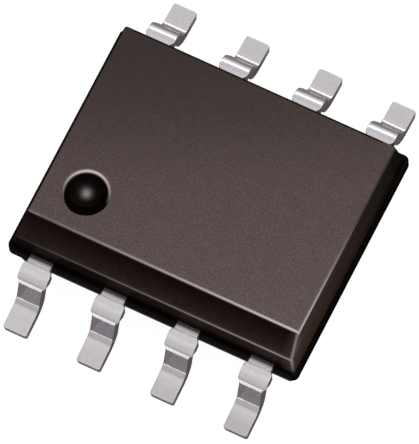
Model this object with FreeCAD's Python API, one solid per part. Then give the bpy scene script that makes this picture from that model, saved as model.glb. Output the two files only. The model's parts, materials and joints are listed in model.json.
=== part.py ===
import FreeCAD, Part
import math
import os

# Eight-lead small-outline package: a moulded body on a stamped and formed lead frame.
# Millimetres. Origin on the seating plane under the middle of the body, X along the rows
# of leads, Y across the package with the pin-one row on the -Y side, Z up.

# Moulded body, sizes at the foot of the upper walls
leads_per_row = 4
lead_pitch = 1.27
end_margin = 0.535          # last lead's centre line to the end of the body
body_width = 3.92
body_height = 1.45
standoff = 0.14             # seating plane to the underside of the body
upper_height = 0.68         # top face down to the lead frame's upper surface
draft_angle = 9.0
rim_ledge = 0.06            # parting rim beyond the walls
rim_corner_radius = 0.115
chamfer_run = 0.36
chamfer_drop = 0.33
upper_edge_radius = 0.045
lower_edge_radius = 0.06
lower_corner_radius = 0.10

# Pin-one dimple in the top face
dimple_radius = 0.355       # where the bowl would meet the top face
dimple_depth = 0.20
dimple_edge_radius = 0.06
dimple_from_end = 0.69      # dimple's centre to the top face's left edge
dimple_from_chamfer = 0.65  # dimple's centre to the chamfer's upper edge

# Formed leads
lead_thickness = 0.20
lead_width = 0.405
tip_span = 6.0              # tip to tip, across the package
foot_length = 0.475
foot_angle = 8.0
leg_angle = 74.0
shoulder_radius = 0.30      # outer surface of the upper bend
heel_radius = 0.18          # hollow side of the lower bend
tip_corner_radius = 0.035
stub_width = 0.49           # dam bar's remains, over the upper bend
stub_gap = 0.03             # rim to the start of the stub
stub_end_angle = 64.0       # lead's slope where the stub ends, part of the way round the bend
stub_start_radius = 0.12
stub_end_radius = 0.08

# Inner ends of the leads
finger_width = 0.62
finger_cover = 0.16         # compound between the finger and the foot of the wall
finger_corner_radius = 0.06
finger_gap = 0.20           # die pad to the fingers' tips

# Die pad and its tie bars
pad_length = 3.30
pad_width = 2.30
pad_downset = 0.15
pad_corner_radius = 0.10
tie_bar_width = 0.32
tie_bar_cover = 0.13        # compound over the tie bars' ends
tie_joggle_run = 0.20       # length of the sloping stretch down to the pad

# Die, its bond line and the wires
die_length = 2.00
die_width = 1.50
die_thickness = 0.25
attach_thickness = 0.03
attach_margin = 0.05
wire_radius = 0.0125
wire_rise = 0.16            # loop's highest corner above the die
bond_inset = 0.12           # wire's centre to the die's edge
bond_pitch = 0.44
stitch_inset = 0.14         # wire's landing to the finger's tip

cutter_margin = 1.0         # how far cutting solids run past what they cut

# Levels and lines that the pieces share
body_length = (leads_per_row - 1) * lead_pitch + 2 * end_margin
top_level = standoff + body_height
frame_top = top_level - upper_height
frame_bottom = frame_top - lead_thickness
draft_slope = math.tan(math.radians(draft_angle))
top_length = body_length - 2 * upper_height * draft_slope
top_width = body_width - 2 * upper_height * draft_slope
rim_width = body_width + 2 * rim_ledge
chamfer_foot_y = -(top_width / 2 + chamfer_drop * draft_slope)
chamfer_top_y = chamfer_foot_y + chamfer_run
dimple_x = -top_length / 2 + dimple_from_end
dimple_y = chamfer_top_y + dimple_from_chamfer
pad_top = frame_top - pad_downset
pad_bottom = pad_top - lead_thickness
die_bottom = pad_top + attach_thickness
die_top = die_bottom + die_thickness
finger_tip_y = pad_width / 2 + finger_gap
finger_end_y = body_width / 2 - finger_cover
stitch_y = finger_tip_y + stitch_inset
bond_y = die_width / 2 - bond_inset


def box(x_size, y_size, z_low, z_high):
    """Block centred on the Z axis between two levels."""
    corner = FreeCAD.Vector(-x_size / 2, -y_size / 2, z_low)
    return Part.makeBox(x_size, y_size, z_high - z_low, corner)


def upright_edges(solid):
    """Straight edges that run along Z."""
    found = []
    for edge in solid.Edges:
        bounds = edge.BoundBox
        if bounds.XLength < 1e-6 and bounds.YLength < 1e-6:
            found.append(edge)
    return found


def rounded_box(x_size, y_size, z_low, z_high, radius):
    """Block whose four upright edges are rounded."""
    block = box(x_size, y_size, z_low, z_high)
    return block.makeFillet(radius, upright_edges(block))


def rounded_path(corners, radii):
    """Edges of a path through corners, each inner corner turned into a tangent arc."""
    edges = []
    start = corners[0]
    for index, radius in enumerate(radii, start=1):
        corner = corners[index]
        coming = (corner - corners[index - 1]).normalize()
        going = (corners[index + 1] - corner).normalize()
        half_turn = coming.getAngle(going) / 2
        tangent = radius * math.tan(half_turn)
        arc_start = corner - coming * tangent
        arc_end = corner + going * tangent
        inward = (going - coming).normalize()
        arc_middle = corner + inward * (radius / math.cos(half_turn) - radius)
        edges.append(Part.makeLine(start, arc_start))
        edges.append(Part.Arc(arc_start, arc_middle, arc_end).toShape())
        start = arc_end
    edges.append(Part.makeLine(start, corners[-1]))
    return edges


def drafted_block(height):
    """Half of the moulded body: four drafted walls on the parting outline, rising along Z."""
    inset = height * draft_slope
    half_length = body_length / 2
    half_width = body_width / 2
    block = Part.makeWedge(
        -half_length, 0, -half_width, -half_width + inset, -half_length + inset,
        half_length, height, half_width, half_width - inset, half_length - inset,
    )
    block.rotate(FreeCAD.Vector(0, 0, 0), FreeCAD.Vector(1, 0, 0), 90)
    return block


def in_plane(edge, level):
    """Whether an edge lies flat at a level."""
    bounds = edge.BoundBox
    return bounds.ZLength < 1e-6 and abs(bounds.ZMin - level) < 1e-6


def chamfer_cutter():
    """Prism that takes off the long top edge over the pin-one row."""
    outside = chamfer_foot_y - cutter_margin
    above = top_level + cutter_margin
    start_x = -body_length / 2 - cutter_margin
    outline = [
        FreeCAD.Vector(start_x, chamfer_foot_y, top_level - chamfer_drop),
        FreeCAD.Vector(start_x, chamfer_top_y, top_level),
        FreeCAD.Vector(start_x, chamfer_top_y, above),
        FreeCAD.Vector(start_x, outside, above),
        FreeCAD.Vector(start_x, outside, top_level - chamfer_drop),
    ]
    face = Part.Face(Part.makePolygon(outline + outline[:1]))
    return face.extrude(FreeCAD.Vector(body_length + 2 * cutter_margin, 0, 0))


def cut_dimple(block):
    """Sink the round bowl of the pin-one mark and round its lip."""
    bowl_radius = (dimple_radius**2 + dimple_depth**2) / (2 * dimple_depth)
    centre_level = top_level - dimple_depth + bowl_radius
    bowl = Part.makeSphere(bowl_radius, FreeCAD.Vector(dimple_x, dimple_y, centre_level))
    block = block.cut(bowl)
    lip = [edge for edge in block.Edges if in_plane(edge, top_level) and edge.isClosed()]
    return block.makeFillet(dimple_edge_radius, lip)


def upper_half():
    """Drafted upper half with the chamfer, rounded edges and the dimple."""
    block = drafted_block(upper_height)
    block.translate(FreeCAD.Vector(0, 0, frame_top))
    block = block.cut(chamfer_cutter())
    free = [edge for edge in block.Edges if not in_plane(edge, frame_top)]
    return cut_dimple(block.makeFillet(upper_edge_radius, free))


def lower_half():
    """Drafted lower half, narrowing downwards."""
    block = drafted_block(frame_bottom - standoff)
    block.rotate(FreeCAD.Vector(0, 0, 0), FreeCAD.Vector(1, 0, 0), 180)
    block.translate(FreeCAD.Vector(0, 0, frame_bottom))
    corners = [edge for edge in block.Edges if edge.BoundBox.ZLength > 1e-6]
    block = block.makeFillet(lower_corner_radius, corners)
    underside = [edge for edge in block.Edges if in_plane(edge, standoff)]
    return block.makeFillet(lower_edge_radius, underside)


def mold_body(held):
    """Moulding compound around everything that it holds."""
    rim_length = body_length + 2 * rim_ledge
    rim = rounded_box(rim_length, rim_width, frame_bottom, frame_top, rim_corner_radius)
    outside = upper_half().fuse([rim, lower_half()]).removeSplitter()
    return outside.cut(held)


def lead_corners():
    """Corners of the lead's upper surface and the slopes of its leg and foot, looking along X."""
    foot = math.radians(foot_angle)
    leg = math.radians(leg_angle)
    foot_way = FreeCAD.Vector(0, math.cos(foot), -math.sin(foot))
    tip = FreeCAD.Vector(0, tip_span / 2, lead_thickness * math.cos(foot))
    heel = tip - foot_way * foot_length
    shoulder_y = heel.y - (frame_top - heel.z) / math.tan(leg)
    shoulder = FreeCAD.Vector(0, shoulder_y, frame_top)
    return shoulder, heel, tip


def under(corner, before, after):
    """The point of the lead's lower surface below a corner of its upper surface."""
    first = (corner - before).normalize()
    second = (after - corner).normalize()
    first_down = FreeCAD.Vector(0, first.z, -first.y)
    second_down = FreeCAD.Vector(0, second.z, -second.y)
    both = first_down + second_down
    return corner + both * (lead_thickness / (1 + first_down.dot(second_down)))


def extruded_strip(edges, width):
    """Solid strip of a width, centred on X, whose side view the edges enclose."""
    face = Part.Face(Part.Wire(edges))
    face.translate(FreeCAD.Vector(-width / 2, 0, 0))
    return face.extrude(FreeCAD.Vector(width, 0, 0))


def gull_wing():
    """The lead's strip from inside the body over both bends to the foot's tip."""
    shoulder, heel, tip = lead_corners()
    inner = FreeCAD.Vector(0, (finger_tip_y + finger_end_y) / 2, frame_top)
    foot_way = (tip - heel).normalize()
    low_inner = FreeCAD.Vector(0, inner.y, frame_bottom)
    low_shoulder = under(shoulder, inner, heel)
    low_heel = under(heel, shoulder, tip)
    low_tip = tip + FreeCAD.Vector(0, foot_way.z, -foot_way.y) * lead_thickness
    upper = rounded_path([inner, shoulder, heel, tip], [shoulder_radius, heel_radius])
    low_radii = [shoulder_radius - lead_thickness, heel_radius + lead_thickness]
    lower = rounded_path([low_inner, low_shoulder, low_heel, low_tip], low_radii)
    ends = [Part.makeLine(inner, low_inner), Part.makeLine(tip, low_tip)]
    strip = extruded_strip(Part.__sortEdges__(upper + lower + ends), lead_width)
    tip_edges = []
    for edge in strip.Edges:
        bounds = edge.BoundBox
        if bounds.XLength < 1e-6 and edge.CenterOfMass.y > (low_tip.y + tip.y) / 2 - 1e-6:
            tip_edges.append(edge)
    return strip.makeFillet(tip_corner_radius, tip_edges)


def stub_outline(reach, radius):
    """Thick rounded block as wide as the stub, reaching back from the X axis."""
    thick = lead_thickness + cutter_margin
    block = rounded_box(stub_width, reach, -thick, thick, radius)
    block.translate(FreeCAD.Vector(0, -reach / 2, 0))
    return block


def dam_bar_stub():
    """Wider stretch of the lead where the dam bar was sheared off, bent with it."""
    shoulder, heel, tip = lead_corners()
    bend_y = shoulder.y - shoulder_radius * math.tan(math.radians(leg_angle) / 2)
    turn = math.radians(stub_end_angle)
    centre = FreeCAD.Vector(0, bend_y, frame_top - shoulder_radius)
    start_y = rim_width / 2 + stub_gap

    def on_bend(radius, angle):
        return centre + FreeCAD.Vector(0, math.sin(angle), math.cos(angle)) * radius

    inside_radius = shoulder_radius - lead_thickness
    high_start = FreeCAD.Vector(0, start_y, frame_top)
    low_start = FreeCAD.Vector(0, start_y, frame_bottom)
    high = [on_bend(shoulder_radius, share * turn) for share in (0, 0.5, 1)]
    low = [on_bend(inside_radius, share * turn) for share in (1, 0.5, 0)]
    edges = [
        Part.makeLine(high_start, high[0]),
        Part.Arc(high[0], high[1], high[2]).toShape(),
        Part.makeLine(high[2], low[0]),
        Part.Arc(low[0], low[1], low[2]).toShape(),
        Part.makeLine(low[2], low_start),
        Part.makeLine(low_start, high_start),
    ]
    strip = extruded_strip(edges, stub_width)
    reach = stub_width + 2 * shoulder_radius
    before_end = stub_outline(reach, stub_end_radius)
    before_end.rotate(FreeCAD.Vector(0, 0, 0), FreeCAD.Vector(1, 0, 0), -stub_end_angle)
    before_end.translate(high[2])
    after_start = stub_outline(reach, stub_start_radius)
    after_start.translate(FreeCAD.Vector(0, start_y + reach, frame_top))
    return strip.common(before_end).common(after_start)


def finger():
    """Flat inner end of the lead, wider than the lead so that the compound holds it."""
    length = finger_end_y - finger_tip_y
    plate = rounded_box(finger_width, length, frame_bottom, frame_top, finger_corner_radius)
    plate.translate(FreeCAD.Vector(0, finger_tip_y + length / 2, 0))
    return plate


def row_positions():
    """Distances of one row's leads along X, from the left."""
    first = -(leads_per_row - 1) / 2 * lead_pitch
    return [first + index * lead_pitch for index in range(leads_per_row)]


def placed(shape, x_place, half_turns):
    """Copy of a shape moved along X, then turned about Z by half turns."""
    copy = shape.copy()
    copy.translate(FreeCAD.Vector(x_place, 0, 0))
    copy.rotate(FreeCAD.Vector(0, 0, 0), FreeCAD.Vector(0, 0, 1), 180 * half_turns)
    return copy


def leads():
    """All leads, counted left to right at the front and back again behind."""
    single = gull_wing().fuse([dam_bar_stub(), finger()]).removeSplitter()
    count = 0
    made = {}
    for half_turns in (1, 2):
        for x_place in reversed(row_positions()):
            count += 1
            made[f"lead_{count}"] = placed(single, x_place, half_turns)
    return made


def die_pad():
    """Sunken pad with a joggled tie bar at each end."""
    plate = rounded_box(pad_length, pad_width, pad_bottom, pad_top, pad_corner_radius)
    bar_end = body_length / 2 - tie_bar_cover
    foot_x = pad_length / 2
    bend_x = foot_x + tie_joggle_run
    root_x = foot_x - lead_thickness
    outline = [
        FreeCAD.Vector(root_x, 0, pad_top),
        FreeCAD.Vector(foot_x, 0, pad_top),
        FreeCAD.Vector(bend_x, 0, frame_top),
        FreeCAD.Vector(bar_end, 0, frame_top),
        FreeCAD.Vector(bar_end, 0, frame_bottom),
        FreeCAD.Vector(bend_x, 0, frame_bottom),
        FreeCAD.Vector(foot_x, 0, pad_bottom),
        FreeCAD.Vector(root_x, 0, pad_bottom),
    ]
    face = Part.Face(Part.makePolygon(outline + outline[:1]))
    face.translate(FreeCAD.Vector(0, -tie_bar_width / 2, 0))
    bar = face.extrude(FreeCAD.Vector(0, tie_bar_width, 0))
    return plate.fuse([bar, placed(bar, 0, 1)]).removeSplitter()


def die_attach():
    """Layer of adhesive between the pad and the die."""
    length = die_length + 2 * attach_margin
    width = die_width + 2 * attach_margin
    return box(length, width, pad_top, die_bottom)


def silicon_die():
    """The silicon chip itself."""
    return box(die_length, die_width, die_bottom, die_top)


def bond_wire(bond_x, stitch_x):
    """Wire straight up from the die, then slanting down onto a finger, mitred at the top."""
    start = FreeCAD.Vector(bond_x, bond_y, die_top)
    peak = start + FreeCAD.Vector(0, 0, wire_rise)
    landing = FreeCAD.Vector(stitch_x, stitch_y, frame_top)
    path = Part.makePolygon([start, peak, landing + (landing - peak).normalize() * lead_thickness])
    ring = Part.Wire(Part.makeCircle(wire_radius, start, FreeCAD.Vector(0, 0, 1)))
    right_corner = 1
    wire = path.makePipeShell([ring], True, False, right_corner)
    below = box(body_length, body_width, frame_bottom - cutter_margin, frame_top)
    return wire.cut(below)


def bond_wires():
    """One wire for each lead, numbered as the leads are."""
    middle = (leads_per_row - 1) / 2
    places = [(index - middle) * bond_pitch for index in range(leads_per_row)]
    count = 0
    made = {}
    for half_turns in (1, 2):
        for bond_x, stitch_x in reversed(list(zip(places, row_positions()))):
            count += 1
            made[f"bond_wire_{count}"] = placed(bond_wire(bond_x, stitch_x), 0, half_turns)
    return made


def main():
    """Build every piece and write each to its own file."""
    pieces = leads()
    pieces["die_pad"] = die_pad()
    pieces["die_attach"] = die_attach()
    pieces["silicon_die"] = silicon_die()
    pieces.update(bond_wires())
    pieces["mold_body"] = mold_body(list(pieces.values()))
    os.makedirs("parts", exist_ok=True)
    for name, shape in pieces.items():
        shape.exportStep(f"parts/{name}.step")


main()
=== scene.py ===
import bpy
import json
import math
import numpy as np
from mathutils import Matrix, Vector

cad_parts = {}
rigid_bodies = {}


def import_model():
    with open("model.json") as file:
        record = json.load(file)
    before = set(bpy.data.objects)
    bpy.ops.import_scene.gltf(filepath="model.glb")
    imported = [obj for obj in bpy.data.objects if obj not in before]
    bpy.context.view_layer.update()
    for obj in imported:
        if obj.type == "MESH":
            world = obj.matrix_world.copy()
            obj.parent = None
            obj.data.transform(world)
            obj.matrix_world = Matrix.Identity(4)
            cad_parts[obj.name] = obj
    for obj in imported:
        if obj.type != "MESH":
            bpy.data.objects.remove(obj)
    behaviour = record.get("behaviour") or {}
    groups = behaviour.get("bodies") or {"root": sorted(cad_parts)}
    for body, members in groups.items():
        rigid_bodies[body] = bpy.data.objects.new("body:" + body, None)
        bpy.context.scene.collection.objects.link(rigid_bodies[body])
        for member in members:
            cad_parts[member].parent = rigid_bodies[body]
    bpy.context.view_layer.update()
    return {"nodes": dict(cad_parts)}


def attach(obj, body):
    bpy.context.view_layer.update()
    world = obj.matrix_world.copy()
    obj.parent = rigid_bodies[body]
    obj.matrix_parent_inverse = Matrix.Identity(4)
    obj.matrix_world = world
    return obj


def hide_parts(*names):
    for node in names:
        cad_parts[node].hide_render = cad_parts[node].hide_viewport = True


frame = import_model()
mm = 0.001
tiny = 1e-6         # mm, the slack in a comparison
leadsPerSide = 4
print("frame loaded:", len(frame["nodes"]), "nodes")


# helpers

def linear(hexColour):
    # sRGB hex to linear: x / 12.92 up to 0.04045, ((x + 0.055) / 1.055) to the power 2.4 above
    parts = np.array([int(hexColour[i:i + 2], 16) for i in (1, 3, 5)]) / 255
    low = parts / 12.92
    high = ((parts + 0.055) / 1.055) ** 2.4
    return (*np.where(parts <= 0.04045, low, high).tolist(), 1.0)


def grey(level):
    # the same amount of each linear colour
    return (level, level, level, 1)


def bell(distance, half):
    # 1 in the middle and less on both sides: exp(-(distance / half) squared)
    return np.exp(-(distance / half) ** 2)


def addNode(tree, kind, inputs=None, **settings):
    # one node with its settings; an input has its socket's name, or its number where names
    # repeat, and one given as (node, output) becomes a link
    node = tree.nodes.new(kind)
    for name, value in settings.items():
        setattr(node, name, value)
    for name, value in (inputs or {}).items():
        if isinstance(value, tuple) and isinstance(value[0], bpy.types.Node):
            tree.links.new(value[0].outputs[value[1]], node.inputs[name])
        else:
            node.inputs[name].default_value = value
    return node


def setRamp(node, stops):
    # stops: (place, colour) from left to right
    ramp = node.color_ramp
    while len(ramp.elements) < len(stops):
        ramp.elements.new(0.5)      # its place is set below
    for element, (place, colour) in zip(ramp.elements, stops):
        element.position = place
        element.color = colour


def newMaterial(name):
    # a material with an empty node tree
    material = bpy.data.materials.new(name)
    material.use_nodes = True
    material.node_tree.nodes.clear()
    return material, material.node_tree


def shellMesh(name, rings, firstPole, lastPole, sharpAngle):
    # rings: (rows, stations, 3) closed round each row; a face joins stations s and s + 1 of
    # rows r and r + 1, and a pole closes each end with a fan
    rows, stations = rings.shape[:2]
    points = np.concatenate([rings.reshape(-1, 3), [firstPole, lastPole]]) * mm
    row = np.arange(rows - 1)[:, None] * stations
    here = np.arange(stations)[None, :]
    ahead = (here + 1) % stations
    quads = np.stack([row + here, row + ahead, row + stations + ahead, row + stations + here], axis=-1)
    count = rows * stations
    last = (rows - 1) * stations
    firstFan = np.stack([ahead[0], here[0], np.full(stations, count)], axis=-1)
    lastFan = np.stack([last + here[0], last + ahead[0], np.full(stations, count + 1)], axis=-1)
    faces = quads.reshape(-1, 4).tolist() + firstFan.tolist() + lastFan.tolist()
    mesh = bpy.data.meshes.new(name)
    mesh.from_pydata(points.tolist(), [], faces)
    mesh.polygons.foreach_set("use_smooth", np.ones(len(faces), dtype=bool))
    mesh.update()
    mesh.set_sharp_from_angle(angle=math.radians(sharpAngle))
    piece = bpy.data.objects.new(name, mesh)
    bpy.context.scene.collection.objects.link(piece)
    return piece


def addTone(piece, name, values):
    # one number for each point of the mesh, which the piece's material reads by this name
    layer = piece.data.attributes.new(name, "FLOAT", "POINT")
    layer.data.foreach_set("value", values.astype(np.float32))


def straight(a, b, step):
    # points from a up to b, without b, about a step apart: a + (b - a) x share
    count = max(1, int(round(np.linalg.norm(b - a) / step)))
    share = np.linspace(0, 1, count, endpoint=False)[:, None]
    return a + (b - a) * share


def roundedProfile(corners, radii, step, arcStep):
    # a line through corners, each inner one turned into an arc that starts radius x
    # tan(turn / 2) before it; gives the points and the unit normal on the left of its way
    corners = np.array(corners, dtype=float)
    points, normals = [], []
    start = corners[0]
    for i, radius in enumerate(radii, start=1):
        coming = corners[i] - corners[i - 1]
        coming = coming / np.linalg.norm(coming)
        going = corners[i + 1] - corners[i]
        going = going / np.linalg.norm(going)
        turn = math.atan2(coming[0] * going[1] - coming[1] * going[0], coming @ going)
        tangent = radius * math.tan(abs(turn) / 2)
        arcStart = corners[i] - coming * tangent
        points.append(straight(start, arcStart, step))
        left = np.array([-coming[1], coming[0]])
        normals.append(np.tile(left, (len(points[-1]), 1)))
        side = math.copysign(1, turn)
        centre = arcStart + left * side * radius
        count = max(3, int(math.ceil(abs(turn) * radius / arcStep)))        # three at least
        angle = turn * np.linspace(0, 1, count, endpoint=False)
        cos, sin = np.cos(angle), np.sin(angle)
        turned = np.stack([cos * left[0] - sin * left[1], sin * left[0] + cos * left[1]], axis=-1)
        points.append(centre - turned * side * radius)
        normals.append(turned)
        start = corners[i] + going * tangent
    points.append(np.concatenate([straight(start, corners[-1], step), corners[-1:]]))
    last = corners[-1] - corners[-2]
    last = last / np.linalg.norm(last)
    normals.append(np.tile([-last[1], last[0]], (len(points[-1]), 1)))
    return np.concatenate(points), np.concatenate(normals)


# moulded body

body = {
    "length": 4.88, "width": 3.92,      # at the foot of the upper walls
    "top": 1.59, "ledge": 0.91, "rimFoot": 0.71, "bottom": 0.14,
    "draft": 9.0,
    "rim": 0.06, "rimCorner": 0.10, "rimEdge": 0.008,
    "chamferRun": 0.36, "chamferDrop": 0.33,
    "edge": 0.045, "lowerEdge": 0.06, "lowerCorner": 0.075,
    "leastCorner": 0.006, "flatCorner": 0.004,      # of the outlines inside an edge's rounding
    "dimpleEnd": 0.69, "dimpleChamfer": 0.65,
    "dimpleRadius": 0.355, "dimpleDepth": 0.20, "dimpleLip": 0.06,
    "leadPitch": 1.27, "leadWidth": 0.405,
    # at a lead the rim ends inside the wall, by this share of its reach; the cut's ends take
    # slotStep, and only points in this band along the wall are moved, in mm
    "slotInset": 0.3, "slotStep": 0.001, "slotBand": 0.3,
    # how finely the surface is laid out: steps in mm along straights and round arcs, and how
    # far the profiles run on over the top and under the bottom
    "step": 0.02, "arcStep": 0.002, "lowStep": 0.06, "lowArcStep": 0.006, "rimArcStep": 0.003,
    "topRun": 0.2, "underRun": 0.5,
    # an outline's stations along its sides: their step, from and to, and one beside each corner
    "station": 0.05, "stationsX": (-2.175, 2.175), "stationsY": (-1.45, 1.70),
    "besideCorner": 0.006, "cornerSteps": 9, "sharpAngle": 32,
    # heights in mm above the ledge, round the bevel's foot and up the bevel, then rows over
    # the top edge's rounding, which start some degrees before it, and rows in over the top
    "wallRows": [0, 0.004, 0.012, 0.05, 0.12, 0.2, 0.28, 0.32],
    "footRows": np.linspace(-0.026, 0.022, 13), "bevelRows": [0.05, 0.1, 0.15, 0.2, 0.25, 0.28],
    "edgeRows": 18, "edgeBefore": 4, "topRows": [0, 0.01, 0.02, 0.035, 0.06],
    # rows to the dimple, on the flat round it, over its lip and down its bowl
    "betweenRows": 3, "apronRows": [0.06, 0.035, 0.02, 0.01], "lipRows": 12, "bowlRows": 20,
}


def bodyPlaces(b):
    # where the walls meet the top and the bevel: a drafted wall leans in by height x tan(draft)
    slope = math.tan(math.radians(b["draft"]))
    topOffset = -(b["top"] - b["ledge"]) * slope
    topFront = -(b["width"] / 2 + topOffset)
    footY = topFront - b["chamferDrop"] * slope
    return {
        "slope": slope, "halfX": b["length"] / 2, "halfY": b["width"] / 2, "topOffset": topOffset,
        "footY": footY, "footZ": b["top"] - b["chamferDrop"], "chamferY": footY + b["chamferRun"],
    }


def upperProfiles(b, at):
    # the side's outward offset and the front's y at shared heights: draft lines joined by arcs
    topOffset, footZ, chamferY = at["topOffset"], at["footZ"], at["chamferY"]
    side, _ = roundedProfile(
        [(0, b["ledge"]), (topOffset, b["top"]), (topOffset - b["topRun"], b["top"])],
        [b["edge"]], b["step"], b["arcStep"])
    front, _ = roundedProfile(
        [(-at["halfY"], b["ledge"]), (at["footY"], footZ), (chamferY, b["top"]),
         (chamferY + b["topRun"], b["top"])],
        [b["edge"], b["edge"]], b["step"], b["arcStep"])
    side = side[side[:, 1] < b["top"] - tiny]
    front = front[front[:, 1] < b["top"] - tiny]
    turn = np.radians(np.linspace(b["draft"] - b["edgeBefore"], 90, b["edgeRows"]))[:-1]
    nearTop = b["top"] - b["edge"] + b["edge"] * np.sin(turn)
    z = np.concatenate([
        np.array(b["wallRows"]) + b["ledge"], b["footRows"] + footZ, np.array(b["bevelRows"]) + footZ,
        nearTop])
    z = np.unique(np.round(z[z < b["top"] - 10 * tiny], 6))      # to a nanometre
    offset = np.interp(z, side[:, 1], side[:, 0])
    y = np.interp(z, front[:, 1], front[:, 0])
    # where the roundings end on the top: edge radius x tan(half the turn) from the sharp corner
    sideEnd = topOffset - b["edge"] * math.tan(math.radians(90 - b["draft"]) / 2)
    half = math.atan2(b["chamferDrop"], b["chamferRun"]) / 2
    frontEnd = chamferY + b["edge"] * math.tan(half)
    return z, offset, y, sideEnd, frontEnd


def outlineRings(left, right, front, back, corner, xs, ys, b):
    # rounded rectangles, one a row: fixed stations along the sides, quarter circles between
    beside = b["besideCorner"]
    rows = len(left)
    one = np.ones((rows, 1))
    left, right, front, back, corner = (v[:, None] for v in (left, right, front, back, corner))
    alongX = np.concatenate([
        left + corner, left + corner + beside, one * xs, right - corner - beside, right - corner], axis=1)
    alongY = np.concatenate([
        front + corner, front + corner + beside, one * ys, back - corner - beside, back - corner], axis=1)
    arc = np.linspace(0, math.pi / 2, b["cornerSteps"] + 2)[1:-1][None, :]
    flatX = np.ones_like(alongX)
    flatY = np.ones_like(alongY)
    x = [alongX, right - corner + corner * np.sin(arc), right * flatY,
         right - corner + corner * np.cos(arc), alongX[:, ::-1],
         left + corner - corner * np.sin(arc), left * flatY, left + corner - corner * np.cos(arc)]
    y = [front * flatX, front + corner - corner * np.cos(arc), alongY,
         back - corner + corner * np.sin(arc), back * flatX,
         back - corner + corner * np.cos(arc), alongY[:, ::-1], front + corner - corner * np.sin(arc)]
    return np.concatenate(x, axis=1), np.concatenate(y, axis=1)


def bodyRings(b, at):
    # stacked outlines from the underside's middle, out round the lower half and the rim, up
    # the drafted walls and the bevel and in over the top: the body's oblong with an offset each
    halfX, halfY = at["halfX"], at["halfY"]
    z, offset, frontY, sideEnd, frontEnd = upperProfiles(b, at)
    lowOffset = -(b["rimFoot"] - b["bottom"]) * at["slope"]
    low, _ = roundedProfile(
        [(lowOffset - b["underRun"], b["bottom"]), (lowOffset, b["bottom"]), (0, b["rimFoot"])],
        [b["lowerEdge"]], b["lowStep"], b["lowArcStep"])
    low = low[:-1]
    rim, _ = roundedProfile(
        [(0, b["rimFoot"]), (b["rim"], b["rimFoot"]), (b["rim"], b["ledge"]), (0, b["ledge"])],
        [b["rimEdge"]] * 2, b["step"], b["rimArcStep"])
    rim = rim[:-1]
    flat = np.array(b["topRows"])
    offsets = np.concatenate([low[:, 0], rim[:, 0], offset, sideEnd - flat])
    heights = np.concatenate([low[:, 1], rim[:, 1], z, np.full(len(flat), b["top"])])
    front = np.concatenate([-halfY - low[:, 0], -halfY - rim[:, 0], frontY, frontEnd + flat])
    # an outline's corner shrinks by as much as its offset falls short of the drafted wall's
    lowWall = -(b["rimFoot"] - low[:, 1]) * at["slope"]
    upWall = -(z - b["ledge"]) * at["slope"]
    corner = np.concatenate([
        np.clip(b["lowerCorner"] + (low[:, 0] - lowWall), b["leastCorner"], None),
        b["lowerCorner"] + (b["rimCorner"] - b["lowerCorner"]) * rim[:, 0] / b["rim"],
        np.clip(b["edge"] + (offset - upWall), b["leastCorner"], None),
        np.full(len(flat), b["flatCorner"])])
    halfLead = b["leadWidth"] / 2
    leadX = (np.arange(leadsPerSide) - (leadsPerSide - 1) / 2) * b["leadPitch"]
    slotSides = np.array([-halfLead - b["slotStep"], -halfLead, halfLead, halfLead + b["slotStep"]])
    step = b["station"]
    xs = np.arange(b["stationsX"][0], b["stationsX"][1] + step / 2, step)
    xs = np.sort(np.concatenate([xs, (leadX[:, None] + slotSides).ravel()]))
    ys = np.arange(b["stationsY"][0], b["stationsY"][1] + step / 2, step)
    x, y = outlineRings(-halfX - offsets, halfX + offsets, front, halfY + offsets, corner, xs, ys, b)
    slot = np.any(np.abs(x[:, :, None] - leadX) < halfLead + tiny, axis=2)
    slot &= np.abs(y) > halfY - b["slotBand"]
    inRim = (offsets > tiny)[:, None] & slot
    y = np.where(inRim, np.sign(y) * (halfY - b["slotInset"] * offsets[:, None]), y)
    return np.stack([x, y, np.broadcast_to(heights[:, None], x.shape)], axis=-1)


def dimpleRings(b, at, top):
    # circles round the dimple's middle, over its lip and down its bowl. The bowl is part of a
    # sphere: its radius is (opening squared + depth squared) / (2 x depth). Each circle's
    # points lie in the directions of the top outline's
    x = b["dimpleEnd"] - (at["halfX"] + at["topOffset"])
    y = at["chamferY"] + b["dimpleChamfer"]
    around = np.arctan2(top[:, 1] - y, top[:, 0] - x)
    lip, depth = b["dimpleLip"], b["dimpleDepth"]
    bowl = (b["dimpleRadius"] ** 2 + depth ** 2) / (2 * depth)
    above = bowl - depth
    lipRadius = math.sqrt((bowl + lip) ** 2 - (above + lip) ** 2)
    lean = math.asin(lipRadius / (bowl + lip))
    tilt = np.linspace(0, lean, b["lipRows"])
    down = np.linspace(lean, 0, b["bowlRows"])[1:-1]
    apron = np.array(b["apronRows"])
    radius = np.concatenate([
        lipRadius + apron, lipRadius - lip * np.sin(tilt), bowl * np.sin(down)])
    level = np.concatenate([
        np.full(len(apron), b["top"]), b["top"] - lip * (1 - np.cos(tilt)),
        b["top"] + above - bowl * np.cos(down)])
    rings = np.stack([
        x + radius[:, None] * np.cos(around), y + radius[:, None] * np.sin(around),
        np.broadcast_to(level[:, None], (len(radius), len(around)))], axis=-1)
    return rings, around, (x, y), (bowl * math.sin(lean), lipRadius)


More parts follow.
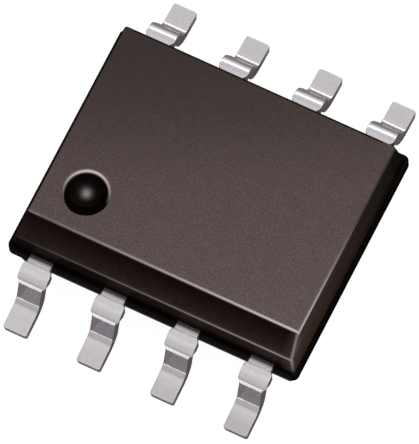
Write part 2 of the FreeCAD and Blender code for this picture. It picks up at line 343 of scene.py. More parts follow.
finishAt = {
    "undersideRise": 0.02,      # the matt underside ends this far up its edge's rounding, in mm
    # the matt top is rubbed down over some rows of its edges' rounding, in a band along the
    # ends and the front but not at the back, in mm
    "rubbedRows": 6, "rubbedBand": 0.3,
    # the dimple's polish starts this many rows down its lip, except on the lip's near side:
    # that side's direction in degrees, and how quickly the difference is reached
    "lipRows": 7, "nearAt": -60, "nearSteep": 1.5,
}
edgeHighlightLook = {
    # (strength at its start, at its end, half-width in mm) of the painted highlight, a pale line along an
    # edge; the right top edge has a bright painted highlight that dies out on the way and a faint one all
    # along
    "bevelTop": (0.16, 0.96, 0.018), "bevelFoot": (0.02, 0.50, 0.018),
    "rightTop": (0.97, -0.46, 0.022), "rightTopFaint": (0.16, 0.08, 0.022),
    "bevelRight": (0.30, 0.28, 0.025), "rightFront": (0.52, 0.02, 0.023),
}
wallSheenLook = {
    # the same of the painted sheen on the walls, a faint pale brown tone, strongest at the front of the
    # right wall and fading towards its back
    "bevel": (0.003, 0.009, 0.20), "front": (-0.006, 0.034, 0.13), "right": (0.060, 0.008, 1.1),
    "back": (0.014, 0.008, 0.5), "left": (0.012, 0.014, 0.5),
    "lowFront": (0.013, 0.013, 0.24), "lowRight": (0.013, 0.013, 0.24),
}
toneAt = {
    # along one axis, in edge radii: from a sharp edge to the middle of its rounding, and down to the painted
    # highlight on the right top edge
    "middle": 0.29, "rightTopDown": 0.67,
    # where the walls' painted sheen runs, in mm
    "frontDown": 0.12, "rightHeight": 1.2, "rightRun": 3.6, "backShort": 0.4, "leftFrom": 0.8,
    "lowHeight": 0.3,
    # the right wall's painted sheen starts outside the top and over the ledge
    "outside": 0.003, "over": 0.001,
    # the left ledge, a narrow band that stays as black as the compound
    "ledgeDown": 0.01, "ledgeHalf": 0.0115,
}
dimpleHighlightLook = {
    # painted highlights in the dimple, a crescent on the lip and a spot with a haze in the bowl: strengths,
    # an angle in degrees, shares of the lip's width and lengths in mm
    "crescent": 1.0, "crescentAt": 103.0, "crescentReach": 0.35, "crescentPower": 1.3,
    "lipShare": 0.31, "lipHalf": 0.43, "lipInside": 0.26,
    "spot": 0.42, "spotRadius": 0.068, "haze": 0.010, "hazeRadius": 0.17, "spotX": -0.03, "spotY": 0.045,
    "marginDown": 0.01, "marginRound": 0.02,
}


def paintedHighlightsAndSheen(points, b, at):
    # a bell of tone round each line: strength x exp(-(distance / half-width) squared); gives the painted
    # highlights along the edges and the painted sheen on the walls, each the greatest of its bells
    halfX, halfY, ledge = at["halfX"], at["halfY"], b["ledge"]
    footY, footZ, chamferY = at["footY"], at["footZ"], at["chamferY"]
    topHalf, topBack = halfX + at["topOffset"], halfY + at["topOffset"]
    footHalf = topHalf + b["chamferDrop"] * at["slope"]
    inward = toneAt["middle"] * b["edge"]
    rightZ = b["top"] - toneAt["rightTopDown"] * b["edge"]
    frontZ, wallZ, lowZ = footZ - toneAt["frontDown"], toneAt["rightHeight"], toneAt["lowHeight"]
    topCorner = (topHalf - inward, chamferY, b["top"] - inward)
    footCorner = (footHalf - inward, footY + inward, footZ)
    ledgeCorner = (halfX - inward, inward - halfY, ledge)
    bevelFoot = ((-footHalf, footY, footZ), (footHalf, footY, footZ))
    rightTop = ((topHalf, chamferY, rightZ), (topHalf, topBack, rightZ))
    edges = {
        "bevelTop": ((-topHalf, chamferY, b["top"]), (topHalf, chamferY, b["top"])),
        "bevelFoot": bevelFoot,
        "rightTop": rightTop, "rightTopFaint": rightTop,
        "bevelRight": (topCorner, footCorner),
        "rightFront": (footCorner, ledgeCorner),
    }
    walls = {
        "bevel": bevelFoot,
        "front": ((-footHalf, footY, frontZ), (footHalf, footY, frontZ)),
        "right": ((halfX, -halfY, wallZ), (halfX, toneAt["rightRun"] - halfY, wallZ)),
        "back": ((-halfX, halfY, ledge), (halfX - toneAt["backShort"], halfY, ledge)),
        "left": ((-halfX, toneAt["leftFrom"] - halfY, ledge), (-halfX, halfY, ledge)),
        "lowFront": ((-halfX, -halfY, lowZ), (halfX, -halfY, lowZ)),
        "lowRight": ((halfX, -halfY, lowZ), (halfX, halfY, lowZ)),
    }
    onRight = (points[:, 0] > topHalf + toneAt["outside"]) & (points[:, 2] > ledge + toneAt["over"])
    onLedge = np.abs(points[:, 2] - ledge + toneAt["ledgeDown"]) < toneAt["ledgeHalf"]
    onLedge &= points[:, 0] < toneAt["over"] - halfX
    tones = []
    for lines, look in ((edges, edgeHighlightLook), (walls, wallSheenLook)):
        total = np.zeros(len(points))
        for name, (start, end) in lines.items():
            start, end = np.array(start), np.array(end)
            along = end - start
            share = np.clip((points - start) @ along / (along @ along), 0, 1)
            distance = np.linalg.norm(points - start - share[:, None] * along, axis=1)
            first, last, half = look[name]
            tone = np.clip(first + (last - first) * share, 0, None) * bell(distance, half)
            if name == "right":
                tone = np.where(onRight & (share < 1), tone, 0)
            total = np.maximum(total, np.where(onLedge, 0, tone))
        tones.append(total)
    return tones


def paintedDimpleHighlights(points, b, middle, lipInner, lipOuter, look):
    # a painted highlight on the lip's far side, as a crescent: a bell across the lip, narrower on its
    # inside, x ((cos(angle) + reach) / (1 + reach)) to a power. A painted highlight spot and a haze round it
    # in the bowl are bells too
    fromX, fromY = points[:, 0] - middle[0], points[:, 1] - middle[1]
    radius = np.hypot(fromX, fromY)
    angle = np.arctan2(fromY, fromX) - math.radians(look["crescentAt"])
    facing = np.clip((np.cos(angle) + look["crescentReach"]) / (1 + look["crescentReach"]), 0, 1)
    width = lipOuter - lipInner
    ridge = lipInner + look["lipShare"] * width
    half = np.where(radius < ridge, look["lipInside"], look["lipHalf"]) * width
    lip = look["crescent"] * facing ** look["crescentPower"] * bell(radius - ridge, half)
    fromSpot = np.hypot(fromX - look["spotX"], fromY - look["spotY"])
    spot = look["spot"] * bell(fromSpot, look["spotRadius"])
    haze = look["haze"] * bell(fromSpot, look["hazeRadius"])
    inside = points[:, 2] > b["top"] - b["dimpleDepth"] - look["marginDown"]
    inside &= radius < lipOuter + look["marginRound"]
    return np.where(inside, lip + spot + haze, 0)


def makeBody(b):
    # the outer outlines, then rows that blend the last one into the dimple's first circle,
    # outline x (1 - share) + circle x share, then the dimple down to its middle
    at = bodyPlaces(b)
    outer = bodyRings(b, at)
    top = outer[-1]
    dimple, around, middle, (lipInner, lipOuter) = dimpleRings(b, at, top)
    share = (np.arange(b["betweenRows"]) + 1)[:, None, None] / (b["betweenRows"] + 1)
    between = top * (1 - share) + dimple[0] * share
    rings = np.concatenate([outer, between, dimple])
    piece = shellMesh(
        "moldedBody", rings, (0, 0, b["bottom"]), (*middle, b["top"] - b["dimpleDepth"]), b["sharpAngle"])
    # the finish of each face: smooth walls, eroded top and underside, polished dimple
    smooth, eroded, polished = 0, 1, 2
    rows, stations = rings.shape[:2]
    strip = np.arange(rows - 1)[:, None]
    firstTop = len(outer) - len(b["topRows"]) - 1       # where the top edge's rounding ends
    firstBowl = rows - len(dimple) + len(b["apronRows"]) + finishAt["lipRows"]
    nearSide = finishAt["nearSteep"] * np.cos(around - math.radians(finishAt["nearAt"]))
    kind = np.where(strip < firstTop, smooth, eroded)
    kind = np.where(strip >= firstBowl - finishAt["lipRows"] * np.clip(nearSide, 0, 1), polished, kind)
    rubbed = np.abs(top[:, 0]) > at["halfX"] - finishAt["rubbedBand"]
    rubbed |= top[:, 1] < finishAt["rubbedBand"] - at["halfY"]
    kind[firstTop - finishAt["rubbedRows"]:firstTop, rubbed] = eroded
    undersideRows = np.count_nonzero(outer[:, 0, 2] < b["bottom"] + finishAt["undersideRise"])
    kind[:undersideRows] = eroded
    finish = np.concatenate([kind.ravel(), np.full(stations, eroded), np.full(stations, polished)])
    piece.data.polygons.foreach_set("material_index", finish.astype(np.int32))
    points = np.zeros(len(piece.data.vertices) * 3)
    piece.data.vertices.foreach_get("co", points)
    points = points.reshape(-1, 3) / mm
    # painted highlights along the edges and in the dimple, and a painted sheen on the walls
    pale, brown = paintedHighlightsAndSheen(points, b, at)
    addTone(piece, "paintedHighlight", pale + paintedDimpleHighlights(points, b, middle, lipInner, lipOuter, dimpleHighlightLook))
    addTone(piece, "paintedWallSheen", brown)
    return piece


bodyPiece = makeBody(body)
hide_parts("mold_body")
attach(bodyPiece, "root")
print("moulded body:", len(bodyPiece.data.polygons), "faces")


# gull-wing leads

lead = {
    "top": 0.91, "thickness": 0.20, "width": 0.405, "pitch": 1.27,
    "tip": 3.0, "foot": 0.475, "footAngle": 8.0, "legAngle": 74.0,
    "shoulderRadius": 0.30, "heelRadius": 0.18, "creaseFrom": 63.0,
    "easeAfter": 0.14, "easeAngle": 5.0, "easeRadius": 0.7,
    "stubWidth": 0.49, "stubStart": 2.05, "stubEndAngle": 64.0, "stubIn": 0.12, "stubOut": 0.08,
    "fingerWidth": 0.62, "fingerTip": 1.35, "fingerEnd": 1.80, "fingerCorner": 0.06,
    "fingerOverlap": 0.05,      # over which the strip already keeps its width in the finger
    "tipCorner": 0.035, "rolledEdge": 0.018,
    "fingerOpen": 0.002, "tipOpen": 0.001,      # so that neither end starts with no width
    # how finely the surface is laid out: steps in mm, rows round an end, points round a corner
    "step": 0.01, "arcStep": 0.008, "endRows": 5, "cornerPoints": 5, "sharpAngle": 40,
    # painted shade on the root, where the wall's dark reflection falls: to y, and gone over mm
    "rootShadeTo": 2.085, "rootShadeFade": 0.085,
    # painted shade in the heel's bend: y of its middle, half-width in mm and strength
    "bendShadeAt": 2.572, "bendShadeHalf": 0.037, "bendShade": 0.38,
    # painted shade on the front row's feet: from y, over mm, strength on its end leads
    "footShadeFrom": 2.66, "footShadeOver": 0.18, "footShadeLeft": 0.03, "footShadeRight": 0.28,
}


def easedEdge(distance, full, radius):
    # half-width near a square end whose corner is a quarter circle: 0 at the end, then full -
    # radius + sqrt(radius squared - (radius - distance) squared), then full
    inside = np.clip(distance, 0, radius)
    return np.where(distance > 0, full - radius + np.sqrt(radius ** 2 - (radius - inside) ** 2), 0)


def leadLine(p):
    # the strip's upper line seen from the side, as (y, z): out from the finger's tip, over the
    # shoulder, down the leg to the heel and along the foot, with an arc at each turn
    foot, leg = math.radians(p["footAngle"]), math.radians(p["legAngle"])
    alongFoot = np.array([math.cos(foot), -math.sin(foot)])
    tip = np.array([p["tip"], p["thickness"] * math.cos(foot)])
    heel = tip - p["foot"] * alongFoot
    shoulder = np.array([heel[0] - (p["top"] - heel[1]) / math.tan(leg), p["top"]])
    # the heel's bend stops a little short of the foot's slope, and a long easy bend does the rest
    easeAt = tip - (p["foot"] - p["easeAfter"]) * alongFoot
    early = math.radians(p["footAngle"] + p["easeAngle"])
    lift = p["easeAfter"] * math.sin(early - foot) / math.sin(leg - early)
    heel = heel + lift * np.array([-math.cos(leg), math.sin(leg)])
    line, normal = roundedProfile(
        [(p["fingerTip"], p["top"]), shoulder, heel, easeAt, tip],
        [p["shoulderRadius"], p["heelRadius"], p["easeRadius"]], p["step"], p["arcStep"])
    travel = np.concatenate([[0], np.cumsum(np.linalg.norm(np.diff(line, axis=0), axis=1))])
    bendStart = shoulder[0] - p["shoulderRadius"] * math.tan(leg / 2) - p["fingerTip"]
    return line, normal, travel, bendStart


def leadHalfWidths(p, station, fromTip, bendStart):
    # the greatest of the strip's and the stub's half-width, or the finger's inside the
    # compound; easedEdge rounds the ends of each
    strip = p["width"] / 2
    fingerTo = p["fingerEnd"] - p["fingerTip"]
    stubFrom = p["stubStart"] - p["fingerTip"]
    stubTo = bendStart + p["shoulderRadius"] * math.radians(p["stubEndAngle"])
    stub = np.minimum(
        easedEdge(station - stubFrom, p["stubWidth"] / 2, p["stubIn"]),
        easedEdge(stubTo - station, p["stubWidth"] / 2, p["stubOut"]))
    finger = np.minimum(
        easedEdge(station + p["fingerOpen"], p["fingerWidth"] / 2, p["fingerCorner"]),
        easedEdge(fingerTo - station, p["fingerWidth"] / 2, p["fingerCorner"]))
    overlap = station > fingerTo - p["fingerOverlap"]
    finger = np.where(overlap, np.maximum(finger, strip), finger)
    half = np.where(station < fingerTo, finger, np.maximum(strip, stub))
    tip = easedEdge(fromTip + p["tipOpen"], strip, p["tipCorner"])
    return np.where(fromTip < p["tipCorner"], tip, half)


def paintedLeadShade(p, x, y, isFront):
    # painted shade: on the root it is full up to the wall and gone a little outside it, in the heel's bend
    # it is a bell, and on a front foot it grows towards its tip x from the row's left end to its right
    rootShade = np.clip((p["rootShadeTo"] - y) / p["rootShadeFade"], 0, 1)
    bendShade = p["bendShade"] * bell(y - p["bendShadeAt"], p["bendShadeHalf"])
    nearTip = np.clip((y - p["footShadeFrom"]) / p["footShadeOver"], 0, 1)[:, None] * isFront
    toRight = np.clip(0.5 + x / ((leadsPerSide - 1) * p["pitch"]), 0, 1)
    footShade = nearTip * (p["footShadeLeft"] + (p["footShadeRight"] - p["footShadeLeft"]) * toRight)
    return np.clip((rootShade + bendShade)[:, None] + footShade, 0, 1).ravel()


def makeLead(name, p, xPlace, isFront):
    # a rounded oblong section carried along the strip's side view: point = line + side x half
    # width - normal x depth, and the section shrinks round a quarter circle at both ends
    line, normal, travel, bendStart = leadLine(p)
    edge = p["rolledEdge"]
    close = np.linspace(0, math.pi / 2, p["endRows"] + 1)[1:]
    endRise = np.concatenate([[0], edge * (1 - np.cos(close))])
    endReach = np.concatenate([[0], edge * np.sin(close)]) - edge
    keep = (travel > edge) & (travel < travel[-1] - edge)
    station = np.concatenate([-endReach[::-1], travel[keep], travel[-1] + endReach])
    shrink = np.concatenate([endRise[::-1], np.zeros(keep.sum()), endRise])
    y, z = (np.interp(station, travel, line[:, i]) for i in (0, 1))
    normalY, normalZ = (np.interp(station, travel, normal[:, i]) for i in (0, 1))
    half = leadHalfWidths(p, station, travel[-1] - station, bendStart) - shrink
    # the section: four quarter circles, at right and left above, then at left and right below
    quarter = np.linspace(0, math.pi / 2, p["cornerPoints"])
    turn = (quarter + np.arange(4)[:, None] * math.pi / 2).ravel()
    signX = np.repeat([1, -1, -1, 1], p["cornerPoints"])
    isLow = np.repeat([False, False, True, True], p["cornerPoints"])
    across = signX * (half[:, None] - edge) + edge * np.cos(turn)
    # the front row's bend ends in two flats that meet in a crease: radius x (1 / cos(angle) - 1)
    bent = (station - bendStart) / p["shoulderRadius"]
    fromFlat = np.minimum(bent - math.radians(p["creaseFrom"]), math.radians(p["legAngle"]) - bent)
    crease = p["shoulderRadius"] * (1 / np.cos(np.clip(fromFlat, 0, None) * isFront) - 1)
    highDepth = (edge + shrink - crease)[:, None]
    lowDepth = p["thickness"] - edge - shrink[:, None]
    depth = np.where(isLow, lowDepth, highDepth) - edge * np.sin(turn)
    # the front row is the back row turned half round
    sign = -1 if isFront else 1
    rings = np.stack([
        xPlace + sign * across, sign * (y[:, None] - normalY[:, None] * depth),
        z[:, None] - normalZ[:, None] * depth], axis=-1)
    piece = shellMesh(name, rings, rings[0].mean(axis=0), rings[-1].mean(axis=0), p["sharpAngle"])
    # painted shade on the tin
    dull = paintedLeadShade(p, rings[:, :, 0], y, isFront)
    addTone(piece, "paintedTinShade", np.append(dull, [1.0, 0.0]))      # the finger's pole and the tip's
    return piece


leadPieces = []
for index in range(2 * leadsPerSide):
    isFront = index < leadsPerSide
    fromMiddle = index % leadsPerSide - (leadsPerSide - 1) / 2
    xPlace = fromMiddle * lead["pitch"] * (1 if isFront else -1)
    piece = makeLead(f"gullWing{index + 1}", lead, xPlace, isFront)
    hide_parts(f"lead_{index + 1}")
    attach(piece, "root")
    leadPieces.append(piece)
print("leads:", len(leadPieces), "pieces of", len(leadPieces[0].data.polygons), "faces")


# finishes

noiseLow, noiseHigh = 0.3, 0.7              # a noise texture's values seldom lie outside
mixFirst, mixSecond, mixResult = 6, 7, 2    # the Mix node's colour sockets


def mouldCompound(name, look):
    # silica-filled epoxy: near black with a warm cast. The mould's spark-eroded top leaves fine pits that
    # scatter light, so the top is matt and greyer; its smooth walls and the polished pin of the dimple leave
    # a closed skin that is darker. Part of that difference in tone is painted light and shade. Pale lines
    # along some edges are painted highlights, and a faint pale brown painted sheen lies on the walls. Colour
    # = the tone along a painted gradient of light and shade, (place . the fade's shares + its start), x
    # grain x clouds, mixed with the painted sheen and the painted highlights
    material, tree = newMaterial(name)
    place = addNode(tree, "ShaderNodeTexCoord")
    grain = addNode(tree, "ShaderNodeTexNoise", {
        "Vector": (place, "Object"), "Scale": 1 / (look["grain"] * mm), "Detail": 2.0, "Roughness": 0.6})
    mottle = addNode(tree, "ShaderNodeTexNoise", {
        "Vector": (place, "Object"), "Scale": 1 / (look["mottle"] * mm), "Detail": 1.0})
    along = addNode(tree, "ShaderNodeVectorMath", {
        0: (place, "Object"), 1: [share / mm for share in look["paintedLightFade"]]}, operation="DOT_PRODUCT")
    far = addNode(tree, "ShaderNodeMath", {0: (along, "Value"), 1: look["paintedLightFadeFrom"]}, operation="ADD")
    tone = addNode(tree, "ShaderNodeValToRGB", {"Fac": (far, 0)})
    setRamp(tone, [(spot, linear(hexColour)) for spot, hexColour in look["tones"]])
    speckle = addNode(tree, "ShaderNodeMapRange", {
        "Value": (grain, "Fac"), "From Min": noiseLow, "From Max": noiseHigh,
        "To Min": 1 - look["speckle"], "To Max": 1 + look["speckle"]})
    cloud = addNode(tree, "ShaderNodeMapRange", {
        "Value": (mottle, "Fac"), "From Min": noiseLow, "From Max": noiseHigh,
        "To Min": 1 - look["clouding"], "To Max": 1 + look["clouding"]})
    uneven = addNode(tree, "ShaderNodeMath", {
        0: (speckle, "Result"), 1: (cloud, "Result")}, operation="MULTIPLY")
    grained = addNode(tree, "ShaderNodeVectorMath", {
        0: (tone, "Color"), 1: (uneven, 0)}, operation="MULTIPLY")
    paintedWallSheen = addNode(tree, "ShaderNodeAttribute", attribute_name="paintedWallSheen")
    walls = addNode(tree, "ShaderNodeMix", {
        "Factor": (paintedWallSheen, "Fac"), mixFirst: (grained, "Vector"),
        mixSecond: linear(look["brown"])}, data_type="RGBA")
    paintedHighlight = addNode(tree, "ShaderNodeAttribute", attribute_name="paintedHighlight")
    colour = addNode(tree, "ShaderNodeMix", {
        "Factor": (paintedHighlight, "Fac"), mixFirst: (walls, mixResult),
        mixSecond: linear(look["pale"])}, data_type="RGBA")
    bump = addNode(tree, "ShaderNodeBump", {
        "Height": (grain, "Fac"), "Strength": 1.0, "Distance": look["depth"] * mm})
    shader = addNode(tree, "ShaderNodeBsdfPrincipled", {
        "Base Color": (colour, mixResult), "Roughness": look["roughness"], "Normal": (bump, "Normal"),
        "IOR": look["ior"], "Specular IOR Level": look["specular"]})
    addNode(tree, "ShaderNodeOutputMaterial", {"Surface": (shader, "BSDF")})
    return material


def tinPlate(name, look):
    # matt tin, plated on a rolled copper alloy strip and then bent: a pale, slightly warm metal with a soft
    # mirror, faint rolling lines and darker grain. Its oxide skin scatters a little, so it isn't wholly
    # metallic. It is greyer where painted shade lies: on the root beside the wall, in the heel's bend and on
    # the front row's feet
    material, tree = newMaterial(name)
    place = addNode(tree, "ShaderNodeTexCoord")
    mapping = addNode(tree, "ShaderNodeMapping", {"Vector": (place, "Object"), "Scale": look["stretch"]})
    lines = addNode(tree, "ShaderNodeTexNoise", {
        "Vector": (mapping, "Vector"), "Scale": 1 / (look["lines"] * mm), "Detail": 3.0})
    grain = addNode(tree, "ShaderNodeTexNoise", {
        "Vector": (place, "Object"), "Scale": 1 / (look["grain"] * mm), "Detail": 4.0, "Roughness": 0.65})
    tone = addNode(tree, "ShaderNodeValToRGB", {"Fac": (grain, "Fac")})
    setRamp(tone, [(look["darkAt"], linear(look["dark"])), (look["lightAt"], linear(look["light"]))])
    paintedTinShade = addNode(tree, "ShaderNodeAttribute", attribute_name="paintedTinShade")
    colour = addNode(tree, "ShaderNodeMix", {
        "Factor": (paintedTinShade, "Fac"), mixFirst: (tone, "Color"),
        mixSecond: linear(look["dull"])}, data_type="RGBA")
    roughness = addNode(tree, "ShaderNodeMapRange", {
        "Value": (lines, "Fac"), "To Min": look["roughness"] - look["uneven"],
        "To Max": look["roughness"] + look["uneven"]})
    bump = addNode(tree, "ShaderNodeBump", {
        "Height": (lines, "Fac"), "Strength": 1.0, "Distance": look["depth"] * mm})
    shader = addNode(tree, "ShaderNodeBsdfPrincipled", {
        "Base Color": (colour, mixResult), "Metallic": look["metallic"],
        "Roughness": (roughness, "Result"), "Normal": (bump, "Normal")})
    addNode(tree, "ShaderNodeOutputMaterial", {"Surface": (shader, "BSDF")})
    return material


def innerFinish(name, look):
    # for the pieces sealed in the compound: from dark to light with a fine grain
    material, tree = newMaterial(name)
    place = addNode(tree, "ShaderNodeTexCoord")
    grain = addNode(tree, "ShaderNodeTexNoise", {
        "Vector": (place, "Object"), "Scale": 1 / (look["grain"] * mm), "Detail": 2.0})
    tone = addNode(tree, "ShaderNodeValToRGB", {"Fac": (grain, "Fac")})
    setRamp(tone, [(look["darkAt"], linear(look["dark"])), (look["lightAt"], linear(look["light"]))])
    shader = addNode(tree, "ShaderNodeBsdfPrincipled", {
        "Base Color": (tone, "Color"), "Metallic": look["metallic"], "Roughness": look["roughness"]})
    addNode(tree, "ShaderNodeOutputMaterial", {"Surface": (shader, "BSDF")})
    return material


# the compound's finishes. The fade is the share of the tones' run that a mm along each axis takes, a painted
# gradient of light and shade: on the walls near black low down and at the back, lightest round the bevel's
# foot at the front and darker again up the bevel; on the top lighter towards the front right. grain is the
# larger silica grains and the eroded pits, mottle the clouds of resin, both in mm, and depth is the bump's,
# in mm
compoundLook = {"pale": "#ede0de", "brown": "#e7c3ad", "grain": 0.03, "ior": 1.52}
smoothLook = compoundLook | {
    "tones": [(0.05, "#040100"), (0.4, "#060201"), (0.69, "#0d0605"), (0.73, "#271c19"),
              (0.86, "#1a100e"), (0.95, "#110605")],
    "paintedLightFade": (0.0, -0.1, 1.0), "paintedLightFadeFrom": -0.75, "speckle": 0.35, "mottle": 0.12, "clouding": 0.15,
    "depth": 0.001, "roughness": 0.12, "specular": 0.035,
}
erodedLook = compoundLook | {
    "tones": [(0.2, "#291c18"), (0.33, "#382b27"), (0.5, "#50413f"), (0.85, "#5c4f4d")],
    "paintedLightFade": (0.055, -0.12, 0.0), "paintedLightFadeFrom": 0.5, "speckle": 0.42, "mottle": 0.11, "clouding": 0.07,
    "depth": 0.005, "roughness": 0.5, "specular": 0.3,
}
polishedLook = compoundLook | {
    "tones": [(0.0, "#070100"), (1.0, "#070100")],
    "paintedLightFade": (0.0, 0.0, 0.0), "paintedLightFadeFrom": 0.5, "speckle": 0.3, "mottle": 0.12, "clouding": 0.15,
    "depth": 0.0004, "roughness": 0.15, "specular": 0.009,
}
# matt tin's grain and rolling lines are finer than 0.01 mm, which wouldn't show, so both are
# drawn as coarse as they need to be; stretch draws the lines out along the strip
tinLook = {
    "dark": "#d5d1d6", "light": "#dedade", "darkAt": 0.3, "lightAt": 0.65, "dull": "#857c7d",
    "metallic": 0.84, "lines": 0.05, "stretch": (3.0, 0.6, 0.6), "grain": 0.07, "depth": 0.00004,
    "roughness": 0.13, "uneven": 0.02,
}
# the sealed pieces' grain is drawn coarser than the real one too
sealedLook = {"darkAt": 0.35, "lightAt": 0.65}
copperLook = sealedLook | {
    "dark": "#b0714f", "light": "#c98a66", "grain": 0.08, "metallic": 1.0, "roughness": 0.35}
epoxyLook = sealedLook | {
    "dark": "#8f8d88", "light": "#b3b1ab", "grain": 0.02, "metallic": 0.0, "roughness": 0.6}
siliconLook = sealedLook | {
    "dark": "#3a3d45", "light": "#454953", "grain": 0.3, "metallic": 0.0, "roughness": 0.12}
goldLook = sealedLook | {
    "dark": "#e2b45a", "light": "#f0c66e", "grain": 0.05, "metallic": 1.0, "roughness": 0.2}

bodyPiece.data.materials.append(mouldCompound("smoothMouldCompound", smoothLook))
bodyPiece.data.materials.append(mouldCompound("erodedMouldCompound", erodedLook))
bodyPiece.data.materials.append(mouldCompound("polishedMouldCompound", polishedLook))
tin = tinPlate("mattTinPlate", tinLook)
for piece in leadPieces:
    piece.data.materials.append(tin)
copper = innerFinish("rolledCopperAlloy", copperLook)
epoxy = innerFinish("silverFilledEpoxy", epoxyLook)
silicon = innerFinish("polishedSilicon", siliconLook)
gold = innerFinish("drawnGoldWire", goldLook)
finishes = {"die_pad": copper, "die_attach": epoxy, "silicon_die": silicon}
for nodeName, node in frame["nodes"].items():
    finish = gold if nodeName.startswith("bond_wire") else finishes.get(nodeName)
    if finish:
        node.data.materials.clear()
        node.data.materials.append(finish)
print("finishes done")


# floor, light and camera

studio = {
    "floor": "#8c8c8c", "floorGlow": 0.92, "floorHalf": 400, "floorDown": 0.002,
    # what metal sees of the floor, as (y in mm, glow), a painted reflection: a white glowing band lies in
    # front of the chip, and from its end on, where the glow is under the threshold below, a darker tinted
    # glow
    "reflectedGlow": [(-12.0, 0.5), (-5.4, 0.5), (-5.0, 0.8), (-4.5, 1.0), (-3.8, 1.6), (-3.55, 2.7), (-3.45, 0.17),
             (3.0, 0.17), (5.0, 0.22)],
    "reflectedGlowAbove": 0.5, "dimGlowTint": "#ffe9f1",
    # the share of it that painted shade near the chip leaves, standing in for the moulding's own shadow: (mm
    # from the chip's long axis, share)
    "shade": [(2.0, 0.45), (2.76, 0.55), (2.92, 1.0), (4.0, 1.0)],
    # painted shade beside the chip's right end, black to metal: from and to, in mm along x
    "paintedShadeBand": (2.42, 2.96),
    # the room from the horizon behind, over the top, to the horizon in front: (degrees, light)
    "room": [(-90, 0.42), (-86, 0.50), (-80, 0.92), (-60, 0.95), (-46, 0.80), (-36, 0.73), (-26, 0.70),
             (-18, 0.90), (-8, 0.84), (-2, 0.81), (8, 0.85), (24, 0.92), (38, 0.84), (52, 0.74),
             (74, 0.69), (90, 0.58)],
    "secondMirror": 0.36,       # how much of it a ray has left after two metal surfaces
}


def makeFloor(look):
    # a large pale sheet: matt and glowing near white for the camera, with the chip's shadow.
    # Metal sees a painted reflection: the glow band x painted shade near the chip x 0 in the painted shade
    # beside its right end
    size = look["floorHalf"] * mm
    corners = [(-size, -size, 0), (size, -size, 0), (size, size, 0), (-size, size, 0)]
    mesh = bpy.data.meshes.new("floorSheet")
    mesh.from_pydata(corners, [], [(0, 1, 2, 3)])
    sheet = bpy.data.objects.new("floorSheet", mesh)
    bpy.context.scene.collection.objects.link(sheet)
    sheet.location.z = -look["floorDown"] * mm
    material, tree = newMaterial("paleFloor")
    path = addNode(tree, "ShaderNodeLightPath")
    matt = addNode(tree, "ShaderNodeBsdfDiffuse", {"Color": linear(look["floor"])})
    black = addNode(tree, "ShaderNodeBsdfDiffuse", {"Color": grey(0)})
    lamplit = addNode(tree, "ShaderNodeMixShader", {
        0: (path, "Is Glossy Ray"), 1: (matt, 0), 2: (black, 0)})
    place = addNode(tree, "ShaderNodeTexCoord")
    apart = addNode(tree, "ShaderNodeSeparateXYZ", {"Vector": (place, "Object")})
    glowFrom, glowTo = look["reflectedGlow"][0][0], look["reflectedGlow"][-1][0]
    across = addNode(tree, "ShaderNodeMapRange", {
        "Value": (apart, "Y"), "From Min": glowFrom * mm, "From Max": glowTo * mm})
    reflectedGlow = addNode(tree, "ShaderNodeValToRGB", {"Fac": (across, "Result")})
    tint = np.array(linear(look["dimGlowTint"]))
    setRamp(reflectedGlow, [
        ((y - glowFrom) / (glowTo - glowFrom), tint * glow if glow < look["reflectedGlowAbove"] else grey(glow))
        for y, glow in look["reflectedGlow"]])
    # painted shade near the chip and beside its right end, seen only by metal
    shadeTo = look["shade"][-1][0]
    side = addNode(tree, "ShaderNodeMath", {0: (apart, "Y")}, operation="ABSOLUTE")
    beside = addNode(tree, "ShaderNodeMath", {0: (side, 0), 1: shadeTo * mm}, operation="DIVIDE")
    shade = addNode(tree, "ShaderNodeValToRGB", {"Fac": (beside, 0)})
    setRamp(shade, [(y / shadeTo, grey(share)) for y, share in look["shade"]])
    shadeBandFrom, shadeBandTo = look["paintedShadeBand"]
    offMiddle = addNode(tree, "ShaderNodeMath", {
        0: (apart, "X"), 1: (shadeBandFrom + shadeBandTo) / 2 * mm}, operation="SUBTRACT")
    offShadeBand = addNode(tree, "ShaderNodeMath", {0: (offMiddle, 0)}, operation="ABSOLUTE")
    clear = addNode(tree, "ShaderNodeMath", {
        0: (offShadeBand, 0), 1: (shadeBandTo - shadeBandFrom) / 2 * mm}, operation="GREATER_THAN")
    unshaded = addNode(tree, "ShaderNodeMath", {0: (shade, "Color"), 1: (clear, 0)}, operation="MULTIPLY")
    lit = addNode(tree, "ShaderNodeVectorMath", {
        0: (reflectedGlow, "Color"), "Scale": (unshaded, 0)}, operation="SCALE")
    plain = addNode(tree, "ShaderNodeMath", {
        0: (path, "Is Camera Ray"), 1: (path, "Is Transmission Ray")}, operation="MAXIMUM")
    shown = addNode(tree, "ShaderNodeMix", {
        "Factor": (plain, 0), mixFirst: (lit, 0),
        mixSecond: grey(look["floorGlow"])}, data_type="RGBA")
    seen = addNode(tree, "ShaderNodeMath", {0: (plain, 0), 1: (path, "Is Glossy Ray")}, operation="MAXIMUM")
    light = addNode(tree, "ShaderNodeEmission", {"Color": (shown, mixResult), "Strength": (seen, 0)})
    both = addNode(tree, "ShaderNodeAddShader", {0: (lamplit, 0), 1: (light, 0)})
    addNode(tree, "ShaderNodeOutputMaterial", {"Surface": (both, 0)})
    mesh.materials.append(material)


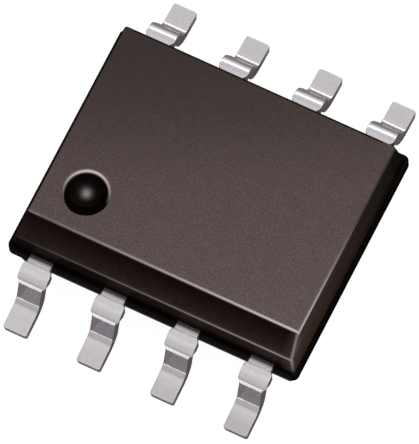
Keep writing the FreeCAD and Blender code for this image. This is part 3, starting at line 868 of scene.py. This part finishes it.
def makeWorld(look):
    # soft light from all round: its strength is looked up by the lean from straight up, front
    # to back, which is atan2(-y, z). The camera sees plain white
    world = bpy.data.worlds.new("softRoom")
    bpy.context.scene.world = world
    world.use_nodes = True
    tree = world.node_tree
    tree.nodes.clear()
    place = addNode(tree, "ShaderNodeTexCoord")
    apart = addNode(tree, "ShaderNodeSeparateXYZ", {"Vector": (place, "Generated")})
    forward = addNode(tree, "ShaderNodeMath", {0: (apart, "Y"), 1: -1.0}, operation="MULTIPLY")
    lean = addNode(tree, "ShaderNodeMath", {0: (forward, 0), 1: (apart, "Z")}, operation="ARCTAN2")
    upright = math.pi / 2
    across = addNode(tree, "ShaderNodeMapRange", {
        "Value": (lean, 0), "From Min": -upright, "From Max": upright})
    ramp = addNode(tree, "ShaderNodeValToRGB", {"Fac": (across, "Result")})
    setRamp(ramp, [((degrees + 90) / 180, grey(level)) for degrees, level in look["room"]])
    path = addNode(tree, "ShaderNodeLightPath")
    twice = addNode(tree, "ShaderNodeMath", {     # 1 after two metal surfaces, 0 after one
        0: (path, "Glossy Depth"), 1: 1.5}, operation="GREATER_THAN")
    remaining = addNode(tree, "ShaderNodeMath", {
        0: (twice, 0), 1: look["secondMirror"] - 1, 2: 1.0}, operation="MULTIPLY_ADD")
    room = addNode(tree, "ShaderNodeBackground", {"Color": (ramp, "Color"), "Strength": (remaining, 0)})
    white = addNode(tree, "ShaderNodeBackground", {"Color": grey(1)})
    plain = addNode(tree, "ShaderNodeMath", {
        0: (path, "Is Camera Ray"), 1: (path, "Is Transmission Ray")}, operation="MAXIMUM")
    mix = addNode(tree, "ShaderNodeMixShader", {0: (plain, 0), 1: (room, 0), 2: (white, 0)})
    addNode(tree, "ShaderNodeOutputWorld", {"Surface": (mix, 0)})


softboxes = [
    # degrees round from the front towards +X and up, then mm, then how bright the face is
    {"name": "backStrip", "azimuth": 180, "elevation": 29, "distance": 60, "width": 140, "height": 9,
     "radiance": 2.2},
    {"name": "rightBox", "azimuth": 75, "elevation": 42, "distance": 60, "width": 30, "height": 16,
     "radiance": 1.0},
]


def addSoftbox(box):
    # a lamp that faces the chip; its power = radiance x pi x area
    a, e = math.radians(box["azimuth"]), math.radians(box["elevation"])
    toLight = Vector((math.sin(a) * math.cos(e), -math.cos(a) * math.cos(e), math.sin(e)))
    width, height = box["width"] * mm, box["height"] * mm
    data = bpy.data.lights.new(box["name"], "AREA")
    data.shape = "RECTANGLE"
    data.size = width
    data.size_y = height
    data.energy = box["radiance"] * math.pi * width * height
    lamp = bpy.data.objects.new(box["name"], data)
    lamp.rotation_mode = "QUATERNION"
    lamp.rotation_quaternion = toLight.to_track_quat("Z", "Y")
    lamp.location = toLight * (box["distance"] * mm)
    lamp.visible_camera = False
    bpy.context.scene.collection.objects.link(lamp)


view = {
    "azimuth": 31.018, "elevation": 69.263, "roll": -5.0,
    "distance": 198.904, "scale": 64.509,       # mm, and pixels a millimetre at the middle
    "aimX": -0.015, "aimY": 0.014, "aimHeight": 0.8,
    "sensor": 36, "clipStart": 10,      # mm
    "frameHeight": 444,                 # the picture's longer side, in pixels
}


def makeCamera(v):
    # the photograph's view: a long lens, well above the chip. Focal length = pixels a mm x
    # distance x sensor / the picture's longer side
    a, e, r = (math.radians(v[k]) for k in ("azimuth", "elevation", "roll"))
    back = np.array([math.sin(a) * math.cos(e), -math.cos(a) * math.cos(e), math.sin(e)])
    right = np.array([math.cos(a), math.sin(a), 0])
    up = np.cross(back, right)
    rolledRight = math.cos(r) * right + math.sin(r) * up
    rolledUp = -math.sin(r) * right + math.cos(r) * up
    spot = back * (v["distance"] + v["aimHeight"] * back[2]) + rolledRight * v["aimX"] + rolledUp * v["aimY"]
    data = bpy.data.cameras.new("photoCamera")
    data.sensor_width = v["sensor"]
    data.sensor_fit = "AUTO"
    data.lens = v["scale"] * v["distance"] * v["sensor"] / v["frameHeight"]
    data.clip_start = v["clipStart"] * mm
    camera = bpy.data.objects.new("photoCamera", data)
    bpy.context.scene.collection.objects.link(camera)
    turn = Matrix((rolledRight, rolledUp, back)).transposed()
    camera.matrix_world = Matrix.Translation(Vector(spot * mm)) @ turn.to_4x4()
    bpy.context.scene.camera = camera


makeFloor(studio)
makeWorld(studio)
for box in softboxes:
    addSoftbox(box)
makeCamera(view)
bpy.context.scene.view_settings.view_transform = "Standard"
print("studio ready")
